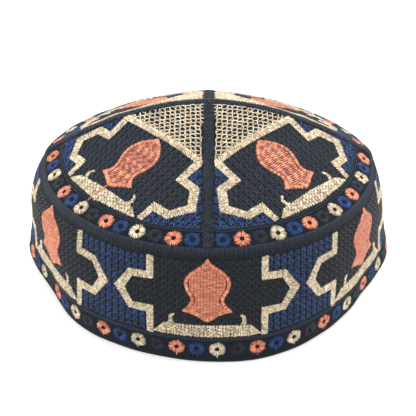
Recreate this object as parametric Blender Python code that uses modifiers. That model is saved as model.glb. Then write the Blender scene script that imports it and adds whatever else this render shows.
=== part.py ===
"""A kufi: a shallow round cap of stiff embroidered cloth, standing open on its hem.

The crown is four gores with plain strips between them. It is creased from left to right,
where the cap folds flat, and the upright band has a soft corner at each end of that fold.
Metres, +Z up, the front towards -Y. The hem lies on the plane z = 0.
"""
import math

import bmesh
import bpy

MM = 0.001

# Azimuths are in degrees from the front, positive towards the wearer's left (+X).
HEM_RADIUS_FRONT = 93.2 * MM
HEM_RADIUS_BACK = 91.5 * MM
CROWN_EDGE_RADIUS = 85.2 * MM
CROWN_EDGE_HEIGHT_FRONT = 62.4 * MM
CROWN_EDGE_HEIGHT_BACK = 55.0 * MM
APEX_HEIGHT = 91.3 * MM

CLOTH_THICKNESS = 2.4 * MM
STRIP_WIDTH = 4.5 * MM
SEAM_GAP = 0.4 * MM

# The crown falls from the apex to its edge as 1 - t ** fullness, t being the share of the way out.
FULLNESS_FRONT = 1.20
FULLNESS_BACK = 1.12
FULLNESS_RIDGE = 1.86
RIDGE_EDGE_LIFT = 2.8 * MM
BACK_QUARTER_DROP = 2.2 * MM
RIDGE_SPREAD = 18.0
RIDGE_ROUNDING = 4.0

# The fold pushes the band out into a corner at each side, strongest at the hem.
CORNER_AZIMUTH = 86.25
CORNER_SPREAD = 24.0
CORNER_ROUNDING = 2.0
CORNER_SHAPE = 1.4
CORNER_REACH_LEFT = 9.6 * MM
CORNER_REACH_RIGHT = 10.4 * MM
SHOULDER_SWELL_LEFT = 3.6 * MM
SHOULDER_SWELL_RIGHT = 1.8 * MM
BACK_SLUMP = 3.0 * MM
# The share of the band's height at which each of these bulges is fullest.
SHOULDER_SHARE = 0.75
SLUMP_SHARE = 0.5

# Soft swells of the hem, which fade out towards the rim: middle, half width and reach of each.
HEM_SWELLS = (
    {"azimuth": -42.0, "spread": 14.0, "reach": 2.0 * MM},
    {"azimuth": 18.0, "spread": 17.0, "reach": 2.0 * MM},
    {"azimuth": 150.0, "spread": 20.0, "reach": 1.8 * MM},
)

ROLL_RADIUS = 3.5 * MM
ROLL_THICKNESS = 2.0 * MM
ROLL_PROUD = 0.4 * MM

BAND_COLUMNS = 96
BAND_ROWS = 7
# The band is made this share of its height too long below, and trimmed to a flat hem.
HEM_ALLOWANCE = 0.05
ROLL_ROWS = 5
GORE_COLUMNS = 16
GORE_ROWS = 10
RIDGE_COLUMNS = 44
STRIP_COLUMNS = 22
STRIP_ROWS = 4

NAVY_BLACK = (0.022, 0.026, 0.036)
SOFT_BLACK = (0.016, 0.018, 0.024)
CLOTH_ROUGHNESS = 0.9


def front_to_back(front, back, azimuth):
    """A value that eases from one at the front to another at the back."""
    share = (1 - math.cos(math.radians(azimuth))) / 2
    return front + (back - front) * share


def softened(distance, rounding):
    """The size of a distance, with its corner at zero rounded off."""
    return math.hypot(distance, rounding) - rounding


def ridge_weight(azimuth):
    """1 on the fold of the crown and falling away from it on both sides."""
    off_ridge = abs(abs(azimuth) - 90)
    return math.exp(-softened(off_ridge, RIDGE_ROUNDING) / RIDGE_SPREAD)


def crown_height(x, y):
    """Height of the crown's outer face above the point (x, y)."""
    radius = math.hypot(x, y)
    azimuth = math.degrees(math.atan2(x, -y)) if radius else 0.0
    on_ridge = ridge_weight(azimuth)
    edge = front_to_back(CROWN_EDGE_HEIGHT_FRONT, CROWN_EDGE_HEIGHT_BACK, azimuth)
    edge += RIDGE_EDGE_LIFT * on_ridge**2
    if abs(azimuth) > 90:
        edge += BACK_QUARTER_DROP * math.sin(math.radians(2 * abs(azimuth)))
    plain = front_to_back(FULLNESS_FRONT, FULLNESS_BACK, azimuth)
    fullness = plain + (FULLNESS_RIDGE - plain) * on_ridge
    share = radius / CROWN_EDGE_RADIUS
    return edge + (APEX_HEIGHT - edge) * (1 - share**fullness)


def at(azimuth, radius, height):
    """The point at an azimuth, a radius and a height."""
    angle = math.radians(azimuth)
    return (radius * math.sin(angle), -radius * math.cos(angle), height)


def crown_point(x, y):
    return (x, y, crown_height(x, y))


def corner_reach(azimuth):
    """How far the fold pushes the hem out at an azimuth."""
    reach = CORNER_REACH_RIGHT if azimuth > 0 else CORNER_REACH_LEFT
    off_corner = softened(abs(abs(azimuth) - CORNER_AZIMUTH), CORNER_ROUNDING)
    return reach * max(0.0, 1 - off_corner / CORNER_SPREAD) ** CORNER_SHAPE


def hem_radius(azimuth):
    radius = front_to_back(HEM_RADIUS_FRONT, HEM_RADIUS_BACK, azimuth) + corner_reach(azimuth)
    for swell in HEM_SWELLS:
        off_middle = (azimuth - swell["azimuth"] + 180) % 360 - 180
        radius += swell["reach"] * math.exp(-((off_middle / swell["spread"]) ** 2))
    return radius


def roll_section(azimuth):
    """The centre of the roll's arc, and the angles at which it leaves the crown and meets the band.

    An angle is that of the outward normal above the horizontal.
    """
    step = 1 * MM
    top = at(azimuth, CROWN_EDGE_RADIUS, 0)
    inside = at(azimuth, CROWN_EDGE_RADIUS - step, 0)
    edge = crown_height(top[0], top[1])
    slope = math.atan2(crown_height(inside[0], inside[1]) - edge, step)
    start = math.pi / 2 - slope
    centre_radius = CROWN_EDGE_RADIUS - ROLL_RADIUS * math.cos(start)
    centre_height = edge - ROLL_RADIUS * math.sin(start)
    lean = math.atan2(hem_radius(azimuth) - centre_radius - ROLL_RADIUS, centre_height)
    return centre_radius, centre_height, start, lean


def bulge(share, peak):
    """0 at both edges of the band and 1 at the share of its height given as the peak."""
    power = peak / (1 - peak)
    return max(share, 0.0) ** power * (1 - share) / (peak**power * (1 - peak))


def band_point(azimuth, share):
    """The band's outer face, from share 0 at the hem to 1 at the roll."""
    centre_radius, centre_height, _, lean = roll_section(azimuth)
    top_radius = centre_radius + ROLL_RADIUS * math.cos(lean)
    top_height = centre_height + ROLL_RADIUS * math.sin(lean)
    radius = hem_radius(azimuth) + (top_radius - hem_radius(azimuth)) * share
    angle = math.radians(azimuth)
    reach = SHOULDER_SWELL_RIGHT if azimuth > 0 else SHOULDER_SWELL_LEFT
    radius += reach * math.sin(angle) ** 4 * bulge(share, SHOULDER_SHARE)
    radius += BACK_SLUMP * max(0.0, -math.cos(angle)) ** 2 * bulge(share, SLUMP_SHARE)
    return at(azimuth, radius, top_height * share)


def band_azimuths():
    """Even steps round the band, with two more beside each corner."""
    step = 360 / BAND_COLUMNS
    found = [step * i - 180 for i in range(BAND_COLUMNS)]
    for side in (-1, 1):
        for beside in (-0.5, 0.5):
            found.append(side * CORNER_AZIMUTH + beside * step)
    return sorted(found)


def cloth(name, colour):
    material = bpy.data.materials.new(name)
    material.use_nodes = True
    shader = material.node_tree.nodes["Principled BSDF"]
    shader.inputs["Base Color"].default_value = (*colour, 1)
    shader.inputs["Roughness"].default_value = CLOTH_ROUGHNESS
    shader.inputs["Metallic"].default_value = 0
    return material


def surface(name, rows, material, thickness, closed=False):
    """A grid of points made into a sheet, thickened inwards. The first row may be one point."""
    shape = bmesh.new()
    grid = [[shape.verts.new(point) for point in row] for row in rows]
    for below, above in zip(grid, grid[1:]):
        count = len(above)
        for i in range(count if closed else count - 1):
            j = (i + 1) % count
            if len(below) == 1:
                shape.faces.new((below[0], above[j], above[i]))
            else:
                shape.faces.new((below[i], below[j], above[j], above[i]))
    mesh = bpy.data.meshes.new(name)
    shape.to_mesh(mesh)
    shape.free()
    mesh.materials.append(material)
    mesh.shade_smooth()
    piece = bpy.data.objects.new(name, mesh)
    pieces.objects.link(piece)
    piece.parent = cap
    solidify = piece.modifiers.new("Cloth thickness", "SOLIDIFY")
    solidify.thickness = thickness
    solidify.offset = -1
    return piece


def make_side_band():
    """The upright wall. It runs a little below the floor, where the cutter trims it to a flat hem."""
    turns = band_azimuths()
    highest = 1 - SEAM_GAP / CROWN_EDGE_HEIGHT_FRONT
    shares = [-HEM_ALLOWANCE] + [i / BAND_ROWS for i in range(BAND_ROWS)] + [highest]
    rows = [[band_point(azimuth, share) for azimuth in turns] for share in shares]
    band = surface("side_band", rows, cloth("band cloth", NAVY_BLACK), CLOTH_THICKNESS, closed=True)

    size = 3 * HEM_RADIUS_FRONT
    depth = 2 * HEM_ALLOWANCE * CROWN_EDGE_HEIGHT_FRONT
    bpy.ops.mesh.primitive_cube_add(size=1, location=(0, 0, -depth / 2))
    cutter = bpy.context.object
    cutter.name = "hem_cutter"
    cutter.scale = (size, size, depth)
    cutter.hide_render = True
    cutter.display_type = "WIRE"
    for owner in list(cutter.users_collection):
        owner.objects.unlink(cutter)
    cutters.objects.link(cutter)
    trim = band.modifiers.new("Flat hem", "BOOLEAN")
    trim.operation = "DIFFERENCE"
    trim.object = cutter


def make_rim_roll():
    """The ribbed roll between the crown and the band, an arc swept round the rim."""
    turns = band_azimuths()
    rows = []
    for i in range(ROLL_ROWS + 1):
        row = []
        for azimuth in turns:
            centre_radius, centre_height, start, lean = roll_section(azimuth)
            start -= SEAM_GAP / ROLL_RADIUS
            angle = lean + (start - lean) * i / ROLL_ROWS
            reach = ROLL_RADIUS + ROLL_PROUD
            row.append(
                at(azimuth, centre_radius + reach * math.cos(angle), centre_height + reach * math.sin(angle))
            )
        rows.append(row)
    surface("rim_roll", rows, cloth("roll thread", SOFT_BLACK), ROLL_THICKNESS, closed=True)


def make_gore(name, across, along):
    """A quarter of the crown, a fan of straight lines from its corner beside the apex to the rim.

    across and along are 1 or -1, the signs of x and y over the gore.
    """
    inset = STRIP_WIDTH / 2 + SEAM_GAP
    corner = (across * inset, along * inset)
    edge_inset = math.asin(inset / CROWN_EDGE_RADIUS)
    rows = [[crown_point(*corner)]]
    for j in range(1, GORE_ROWS + 1):
        row = []
        for i in range(GORE_COLUMNS + 1):
            angle = edge_inset + (math.pi / 2 - 2 * edge_inset) * i / GORE_COLUMNS
            rim = (across * CROWN_EDGE_RADIUS * math.sin(angle), along * CROWN_EDGE_RADIUS * math.cos(angle))
            share = j / GORE_ROWS
            row.append(
                crown_point(corner[0] + (rim[0] - corner[0]) * share, corner[1] + (rim[1] - corner[1]) * share)
            )
        rows.append(row if across * along > 0 else row[::-1])
    surface(name, rows, cloth(name + " cloth", NAVY_BLACK), CLOTH_THICKNESS)


def make_strip(name, turn, columns, across=False):
    """A strip of plain cloth between gores, out to the rim at an azimuth in degrees.

    It begins beside the ridge strip, or at the opposite rim if it runs across the whole crown.
    """
    angle = math.radians(turn)
    rows = []
    for i in range(STRIP_ROWS + 1):
        sideways = STRIP_WIDTH * (i / STRIP_ROWS - 0.5)
        end = math.sqrt(CROWN_EDGE_RADIUS**2 - sideways**2)
        begin = -end if across else STRIP_WIDTH / 2 + SEAM_GAP
        row = []
        for j in range(columns + 1):
            outwards = begin + (end - begin) * j / columns
            x = outwards * math.sin(angle) + sideways * math.cos(angle)
            y = -outwards * math.cos(angle) + sideways * math.sin(angle)
            row.append(crown_point(x, y))
        rows.append(row)
    surface(name, rows, cloth(name + " cloth", SOFT_BLACK), CLOTH_THICKNESS)


for old in list(bpy.data.objects):
    bpy.data.objects.remove(old, do_unlink=True)

pieces = bpy.data.collections.new("kufi")
cutters = bpy.data.collections.new("cutters")
for collection in (pieces, cutters):
    bpy.context.scene.collection.children.link(collection)

cap = bpy.data.objects.new("cap", None)
pieces.objects.link(cap)

make_side_band()
make_rim_roll()
make_gore("crown_gore_front_left", across=-1, along=-1)
make_gore("crown_gore_front_right", across=1, along=-1)
make_gore("crown_gore_rear_left", across=-1, along=1)
make_gore("crown_gore_rear_right", across=1, along=1)
make_strip("ridge_strip", turn=90, columns=RIDGE_COLUMNS, across=True)
make_strip("front_strip", turn=0, columns=STRIP_COLUMNS)
make_strip("rear_strip", turn=180, columns=STRIP_COLUMNS)
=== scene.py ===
# %% [markdown]
# # An embroidered kufi
# A kufi is a round cap without a brim. This one stands open on its hem: an upright band, a soft
# ribbed roll round the rim, and a shallow crown of four gores that is creased from left to right,
# where the cap folds flat.
# Nearly all that the eye sees is thread. So after the plain cloth, this lesson sews the cap stitch
# by stitch: each stitch is a short rounded ribbon of mesh that follows the cloth under it.
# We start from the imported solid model, which fixes the size and place of everything.

# %% Load the solid cap
import math

import bpy
import numpy as np
from mathutils import Matrix, Vector


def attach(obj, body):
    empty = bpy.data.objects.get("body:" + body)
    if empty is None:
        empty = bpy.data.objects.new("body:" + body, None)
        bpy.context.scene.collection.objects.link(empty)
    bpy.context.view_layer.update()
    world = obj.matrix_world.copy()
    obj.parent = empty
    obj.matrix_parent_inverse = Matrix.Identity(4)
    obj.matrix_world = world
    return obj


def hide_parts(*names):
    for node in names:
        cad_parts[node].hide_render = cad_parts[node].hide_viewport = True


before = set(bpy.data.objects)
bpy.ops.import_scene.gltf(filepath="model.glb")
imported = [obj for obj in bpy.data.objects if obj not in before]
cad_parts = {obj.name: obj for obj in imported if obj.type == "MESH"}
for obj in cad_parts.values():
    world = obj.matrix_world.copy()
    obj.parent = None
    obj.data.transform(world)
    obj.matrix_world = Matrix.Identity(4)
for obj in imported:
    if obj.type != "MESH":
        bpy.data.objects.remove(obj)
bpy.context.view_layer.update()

# %% [markdown]
# ## The shape as a formula
# The crown and the band are smooth surfaces that a few lengths describe, so both are written as
# functions: give a place on the pattern, get the point in space. A mesh could be shrink-wrapped
# instead, but with a formula thousands of stitches can be laid at once, and each one lies exactly
# on the cloth. All lengths on the cap are in millimetres, and azimuths are in degrees from the
# front, positive towards +X.

# %% Sizes of the cap
HEM_RADIUS_FRONT = 93.2
HEM_RADIUS_BACK = 91.5
CROWN_EDGE_RADIUS = 85.2
CROWN_EDGE_HEIGHT_FRONT = 62.4
CROWN_EDGE_HEIGHT_BACK = 55.0
APEX_HEIGHT = 91.3
CLOTH_THICKNESS = 2.4
STRIP_WIDTH = 4.5
SEAM_GAP = 0.4
ROLL_RADIUS = 3.5
print(f"The crown is {2 * CROWN_EDGE_RADIUS:.0f} mm across, and the cap {APEX_HEIGHT:.0f} mm high")


# %% The crown as a height above the floor
FULLNESS_FRONT, FULLNESS_BACK, FULLNESS_RIDGE = 1.20, 1.12, 1.86
RIDGE_EDGE_LIFT, RIDGE_SPREAD, RIDGE_ROUNDING = 2.8, 18.0, 4.0
BACK_QUARTER_DROP = 2.2


def front_to_back(front, back, azimuth):
    """A value that eases from one at the front to another at the back."""
    return front + (back - front) * (1 - np.cos(np.radians(azimuth))) / 2


def softened(distance, rounding):
    """The size of a distance, with its corner at zero rounded off."""
    return np.hypot(distance, rounding) - rounding


def crown_height(x, y):
    """Height of the crown's outer face above the point (x, y)."""
    radius = np.hypot(x, y)
    azimuth = np.degrees(np.arctan2(x, -y))
    off_ridge = softened(np.abs(np.abs(azimuth) - 90), RIDGE_ROUNDING)
    on_ridge = np.exp(-off_ridge / RIDGE_SPREAD)
    edge = front_to_back(CROWN_EDGE_HEIGHT_FRONT, CROWN_EDGE_HEIGHT_BACK, azimuth)
    edge = edge + RIDGE_EDGE_LIFT * on_ridge**2
    drop = BACK_QUARTER_DROP * np.sin(np.radians(2 * np.abs(azimuth)))
    edge = edge + np.where(np.abs(azimuth) > 90, drop, 0)
    plain = front_to_back(FULLNESS_FRONT, FULLNESS_BACK, azimuth)
    fullness = plain + (FULLNESS_RIDGE - plain) * on_ridge
    return edge + (APEX_HEIGHT - edge) * (1 - (radius / CROWN_EDGE_RADIUS) ** fullness)


def crown(place):
    """The crown's point at a place (x, y)."""
    x, y = place[..., 0], place[..., 1]
    return np.stack([x, y, crown_height(x, y)], axis=-1)


front_rim = crown_height(0.0, -CROWN_EDGE_RADIUS)
print(f"Crown: {crown_height(0.0, 0.0):.1f} mm high, {front_rim:.1f} at the front rim")

# %% [markdown]
# ## The band and the roll
# The band's hem isn't a circle: the fold pushes it out into a corner at each side, and the cloth
# swells softly elsewhere. The roll is an arc that leaves the crown and meets the band smoothly.

# %% The hem
CORNER_AZIMUTH, CORNER_SPREAD, CORNER_ROUNDING, CORNER_SHAPE = 86.25, 24.0, 2.0, 1.4
CORNER_REACH_LEFT, CORNER_REACH_RIGHT = 9.6, 10.4
SHOULDER_SWELL_LEFT, SHOULDER_SWELL_RIGHT, SHOULDER_SHARE = 3.6, 1.8, 0.75
BACK_SLUMP, SLUMP_SHARE = 3.0, 0.5
HEM_SWELLS = (  # azimuth, spread and reach of each
    (-42.0, 14.0, 2.0),
    (18.0, 17.0, 2.0),
    (150.0, 20.0, 1.8),
)


def hem_radius(azimuth):
    """How far out the hem's outer face lies."""
    reach = np.where(azimuth > 0, CORNER_REACH_RIGHT, CORNER_REACH_LEFT)
    off_corner = softened(np.abs(np.abs(azimuth) - CORNER_AZIMUTH), CORNER_ROUNDING)
    radius = front_to_back(HEM_RADIUS_FRONT, HEM_RADIUS_BACK, azimuth)
    radius = radius + reach * np.maximum(0, 1 - off_corner / CORNER_SPREAD) ** CORNER_SHAPE
    for middle, spread, swell in HEM_SWELLS:
        off_middle = (azimuth - middle + 180) % 360 - 180
        radius = radius + swell * np.exp(-((off_middle / spread) ** 2))
    return radius


corners = [float(hem_radius(side * CORNER_AZIMUTH)) for side in (-1, 1)]
print("The hem's corners lie out at", [round(radius, 1) for radius in corners], "mm")


# %% The roll
def at(azimuth, radius, height):
    """Points from an azimuth, a distance from the middle and a height."""
    angle = np.radians(azimuth)
    return np.stack([radius * np.sin(angle), -radius * np.cos(angle), height + 0 * radius], -1)


def roll_section(azimuth):
    """The roll's centre, and its normal's angles where it leaves the crown and meets the band."""
    x, y = np.sin(np.radians(azimuth)), -np.cos(np.radians(azimuth))
    edge = crown_height(CROWN_EDGE_RADIUS * x, CROWN_EDGE_RADIUS * y)
    inside = CROWN_EDGE_RADIUS - 1
    start = math.pi / 2 - np.arctan2(crown_height(inside * x, inside * y) - edge, 1.0)
    centre_radius = CROWN_EDGE_RADIUS - ROLL_RADIUS * np.cos(start)
    centre_height = edge - ROLL_RADIUS * np.sin(start)
    lean = np.arctan2(hem_radius(azimuth) - centre_radius - ROLL_RADIUS, centre_height)
    return centre_radius, centre_height, start, lean


def roll_arc(azimuth):
    """How far it is over the roll, from the band to the crown."""
    _, _, start, lean = roll_section(azimuth)
    return (start - lean) * ROLL_RADIUS


print(f"Over the roll it is {roll_arc(0.0):.1f} mm in front")


# %% The wall
def bulge(share, peak):
    """0 at both edges of the band and 1 at the share of its height given as the peak."""
    power = peak / (1 - peak)
    return np.maximum(share, 0.0) ** power * (1 - share) / (peak**power * (1 - peak))


def wall_point(azimuth, share):
    """The band's outer face, from share 0 at the hem to 1 at the roll."""
    centre_radius, centre_height, _, lean = roll_section(azimuth)
    top_radius = centre_radius + ROLL_RADIUS * np.cos(lean)
    top_height = centre_height + ROLL_RADIUS * np.sin(lean)
    radius = hem_radius(azimuth) + (top_radius - hem_radius(azimuth)) * share
    angle = np.radians(azimuth)
    shoulder = np.where(azimuth > 0, SHOULDER_SWELL_RIGHT, SHOULDER_SWELL_LEFT)
    radius = radius + shoulder * np.sin(angle) ** 4 * bulge(share, SHOULDER_SHARE)
    radius = radius + BACK_SLUMP * np.maximum(0, -np.cos(angle)) ** 2 * bulge(share, SLUMP_SHARE)
    return at(azimuth, radius, top_height * share)


# %% [markdown]
# ## A flat pattern for the band
# The embroidery was sewn on a flat strip and then bent round. So the band's pattern is measured
# as (s, h): millimetres round from the middle of the front, and up from the hem. The strip was
# eased on a little tighter in front, and its pattern runs a little lower near the two corners.

# %% Places on the band
BAND_HEIGHT = 59.6
EASE = 2.9
CORNER_SAG, SAG_RISE = 2.4, 8  # the sag is full from an eighth of the height up

turns = np.linspace(-180, 180, 3601)
steps = np.linalg.norm(np.diff(wall_point(turns, 0.5), axis=0), axis=1)
rounds = np.concatenate([[0], np.cumsum(steps)])
rounds -= np.interp(0, turns, rounds)
BAND_LENGTH = rounds[-1] - rounds[0]


def azimuth_at(s):
    """The azimuth at a distance along the strip."""
    eased = s - EASE * np.sin(2 * math.pi * s / BAND_LENGTH)
    return np.interp((eased - rounds[0]) % BAND_LENGTH + rounds[0], rounds, turns)


def band(place):
    """The band's point at a place (s, h). The hem and the roll stay where they are."""
    azimuth = azimuth_at(place[..., 0])
    share = place[..., 1] / BAND_HEIGHT
    fade = np.clip(SAG_RISE * share, 0, 1) * (1 - share)
    sag = CORNER_SAG * np.sin(np.radians(azimuth)) ** 2 * fade
    return wall_point(azimuth, share - sag / BAND_HEIGHT)


print(f"The band's strip is {BAND_LENGTH:.0f} mm long")


# %% Places on the rim
def rim(place):
    """The point at (s, t): t runs up off the band, over the roll and onto the crown."""
    azimuth, t = azimuth_at(place[..., 0]), place[..., 1]
    centre_radius, centre_height, start, lean = roll_section(azimuth)
    arc = (start - lean) * ROLL_RADIUS
    angle = lean + np.clip(t, 0, arc) / ROLL_RADIUS
    on_roll = at(azimuth, centre_radius + ROLL_RADIUS * np.cos(angle), 0)
    on_roll[..., 2] = centre_height + ROLL_RADIUS * np.sin(angle)
    on_band = wall_point(azimuth, 1 + np.minimum(t, 0) / BAND_HEIGHT)
    on_crown = crown(at(azimuth, CROWN_EDGE_RADIUS - np.maximum(t - arc, 0), 0)[..., :2])
    above = (t > arc)[..., None]
    below = (t < 0)[..., None]
    return np.where(above, on_crown, np.where(below, on_band, on_roll))


# %% [markdown]
# ## A flat pattern for the gores
# The four gores carry the same pattern, mirrored. A gore's place is (u, v): v runs from the
# middle of the crown out along the gore's own middle line, and u to the side, towards the crease.

# %% Places on a gore
GORES = {
    "front_left": (-1, -1),
    "front_right": (1, -1),
    "rear_left": (-1, 1),
    "rear_right": (1, 1),
}


def grid_of(columns, rows):
    """All the places with one of these first values and one of these second values."""
    return np.stack(np.meshgrid(columns, rows), axis=-1)


def gore(across, along):
    """The surface of one gore. across and along are the signs of x and y over it."""

    def point(place):
        u, v = place[..., 0], place[..., 1]
        x = across * (v + u) / math.sqrt(2)
        y = along * (v - u) / math.sqrt(2)
        return crown(np.stack([x, y], axis=-1))

    return point


print("Gores:", ", ".join(GORES))

# %% Points raised off the cloth
CAP_MIDDLE = np.array([0.0, 0.0, 20.0])
NORMAL_STEP = 0.3
PUCKER = 0.16  # height of the cloth's faint waves, which are about 30 mm long
THREAD_DEPTH = 0.6


def normals(surface, place):
    """The outward normal at each place, from four places close by."""
    sideways, upwards = np.array([NORMAL_STEP, 0.0]), np.array([0.0, NORMAL_STEP])
    across = surface(place + sideways) - surface(place - sideways)
    along = surface(place + upwards) - surface(place - upwards)
    normal = np.cross(across, along)
    normal /= np.linalg.norm(normal, axis=-1, keepdims=True)
    outward = ((surface(place) - CAP_MIDDLE) * normal).sum(-1, keepdims=True)
    return normal * np.sign(outward)


def raised(surface, place, lift):
    """Points at places on the cloth, lifted along its normal. Worn cloth is never quite smooth.

    The measured surface is that of the thread, so the cloth lies a thread's depth below it.
    """
    point = surface(place)
    x, y, z = point[..., 0], point[..., 1], point[..., 2]
    uneven = np.sin(0.23 * x + 0.11 * z) * np.cos(0.19 * y - 0.13 * z + 0.7)
    depth = lift - THREAD_DEPTH + PUCKER * uneven
    point = point + normals(surface, place) * depth[..., None]
    point[..., 2] = np.maximum(point[..., 2], 0)
    return point


# %% [markdown]
# ## Camera, floor and light
# A product photograph on a white table: a camera a little above the cap, four large softboxes in
# front, overhead and at the sides, and a bright white room that fills the shadows. A softbox is
# an area light, and a world colour stands for the room.

# %% Camera
# Distances are in metres and angles in degrees, and the lens and its sensor in millimetres.
VIEW_DISTANCE = 0.4145
VIEW_ELEVATION = 34.93
AIM_HEIGHT = 0.0242
TILT = 0.49
LENS = 64.34
SENSOR = 36

elevation = math.radians(VIEW_ELEVATION)
camera_data = bpy.data.cameras.new("camera")
camera_data.lens = LENS
camera_data.sensor_width = SENSOR
camera = bpy.data.objects.new("camera", camera_data)
bpy.context.scene.collection.objects.link(camera)
back, up = VIEW_DISTANCE * math.cos(elevation), VIEW_DISTANCE * math.sin(elevation)
where = (0, -back, AIM_HEIGHT + up)
pitch = Matrix.Rotation(math.pi / 2 - elevation, 4, "X")
roll = Matrix.Rotation(math.radians(TILT), 4, "Z")
camera.matrix_world = Matrix.Translation(where) @ (pitch @ roll)
bpy.context.scene.camera = camera
print("Camera at", [round(value, 3) for value in where])


# %% Colours and nodes
def linear(colour):
    """An sRGB hex colour as the linear values that shaders use."""
    parts = [int(colour[i : i + 2], 16) / 255 for i in (1, 3, 5)]
    parts = [c / 12.92 if c <= 0.04045 else ((c + 0.055) / 1.055) ** 2.4 for c in parts]
    return (*parts, 1.0)


def add_node(material, kind, inputs=None, **settings):
    """Adds a node, sets its options, and fills its inputs with numbers or links."""
    made = material.node_tree.nodes.new(kind)
    for name, value in settings.items():
        setattr(made, name, value)
    for socket, value in (inputs or {}).items():
        if isinstance(value, bpy.types.NodeSocket):
            material.node_tree.links.new(value, made.inputs[socket])
        else:
            made.inputs[socket].default_value = value
    return made


def new_material(name, roughness, sheen=0.0, gloss=0.5):
    """A material and its main shader. gloss is the strength of its highlights."""
    material = bpy.data.materials.new(name)
    material.use_nodes = True
    shader = material.node_tree.nodes["Principled BSDF"]
    shader.inputs["Roughness"].default_value = roughness
    shader.inputs["Sheen Weight"].default_value = sheen
    shader.inputs["Specular IOR Level"].default_value = gloss
    return material, shader


# %% Floor
# White card is matt, so it takes the cap's soft shadow and shows no highlight.
floor_material, floor_shader = new_material("white card", roughness=0.9)
floor_shader.inputs["Base Color"].default_value = linear("#F6F6F6")

bpy.ops.mesh.primitive_plane_add(size=60)
floor = bpy.context.object
floor.name = "floor"
floor.data.materials.append(floor_material)

# %% Room and lights
ROOM_BRIGHTNESS = 0.95

world = bpy.data.worlds.new("white room")
bpy.context.scene.world = world
world.use_nodes = True
room = world.node_tree.nodes["Background"]
room.inputs["Color"].default_value = linear("#FFFFFF")
room.inputs["Strength"].default_value = ROOM_BRIGHTNESS


def softbox(name, place, size, energy):
    """A square area light that faces the cap, in metres and watts."""
    lamp = bpy.data.lights.new(name, "AREA")
    lamp.shape = "SQUARE"
    lamp.size = size
    lamp.energy = energy
    holder = bpy.data.objects.new(name, lamp)
    aim = (Vector(place) - Vector((0, 0, AIM_HEIGHT))).to_track_quat("Z", "Y")
    holder.matrix_world = Matrix.Translation(place) @ aim.to_matrix().to_4x4()
    bpy.context.scene.collection.objects.link(holder)


softbox("front_softbox", (-0.25, -0.85, 1.05), 0.9, 6)
softbox("top_softbox", (0.1, 0.4, 1.2), 0.9, 12)
softbox("left_softbox", (-1.1, -0.2, 0.5), 0.8, 5)
softbox("right_softbox", (1.1, -0.2, 0.5), 0.8, 5)
bpy.context.scene.view_settings.view_transform = "Standard"
print("Lights:", [lamp.name for lamp in bpy.data.lights])

# %% [markdown]
# ## Thread
# Machine embroidery is sewn with a two-ply rayon or polyester thread. It is smooth and lustrous,
# so it has a soft highlight, and each stitch catches the light at its own angle. That is why the
# stitches of one colour look lighter and darker side by side. Every stitch stores a random
# "shade", and the material turns it into a colour between two close tones. The ply is a fine
# diagonal wave. Its real pitch of 0.3 mm is too fine to show, so it is drawn at 0.7 mm.

# %% Thread materials
PLY_PITCH = 0.7
WAVE_REPEAT = 0.63  # a diagonal wave of scale 1 repeats after so many units, here millimetres


def fibre(material, shader, tone, colours, positions, ribs, relief):
    """Colours a fibre between two tones, and gives it fine diagonal ribs in relief."""
    tones = add_node(material, "ShaderNodeValToRGB", {"Fac": tone.outputs["Fac"]})
    for element, colour, position in zip(tones.color_ramp.elements, colours, positions):
        element.color = linear(colour)
        element.position = position
    wave = add_node(material, "ShaderNodeTexWave", ribs, bands_direction="DIAGONAL")
    bump = add_node(material, "ShaderNodeBump", {"Height": wave.outputs["Fac"], **relief})
    links = material.node_tree.links
    links.new(tones.outputs["Color"], shader.inputs["Base Color"])
    links.new(bump.outputs["Normal"], shader.inputs["Normal"])


def thread_material(name, dark, light, roughness, gloss, twist):
    """Thread whose stitches differ in tone. twist is how strongly its ply shows."""
    material, shader = new_material(name, roughness, gloss=gloss)
    shade = add_node(material, "ShaderNodeAttribute", attribute_name="shade")
    spot = add_node(material, "ShaderNodeUVMap", uv_map="along").outputs["UV"]
    ply = {"Vector": spot, "Scale": WAVE_REPEAT / PLY_PITCH, "Distortion": 0.6}
    relief = {"Strength": twist, "Distance": 0.0001}
    fibre(material, shader, shade, (dark, light), (0, 1), ply, relief)
    return material


CREAM = thread_material("cream rayon thread", "#917D5A", "#E9DABD", 0.38, 0.75, 0.5)
CORAL = thread_material("coral rayon thread", "#A05236", "#EB9C79", 0.4, 0.55, 0.4)
NAVY = thread_material("navy rayon thread", "#030C21", "#1B447D", 0.36, 0.3, 0.7)
BLACK = thread_material("black rayon thread", "#030508", "#242C38", 0.34, 0.28, 0.9)
print("Threads:", [thread.name for thread in (CREAM, CORAL, NAVY, BLACK)])

# %% [markdown]
# ## How a stitch is made
# A stitch is a ribbon three points wide: its two edges lie on the cloth and its middle is raised,
# so smooth shading makes it look round. Its ends dive into the cloth, as thread does at the
# needle hole. Building every stitch as a curve object would be slow, so NumPy computes the points
# of a whole batch at once, and each piece of embroidery is one mesh.

# %% Stitches from paths
END_DIVE = 0.1  # how deep the edges of a stitch's ends lie
END_SHARE = 0.4  # height of its middle there, as a share
rng = np.random.default_rng(11)


def left_of(ahead):
    """The direction to the left of each direction."""
    return np.stack([-ahead[..., 1], ahead[..., 0]], axis=-1)


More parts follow.
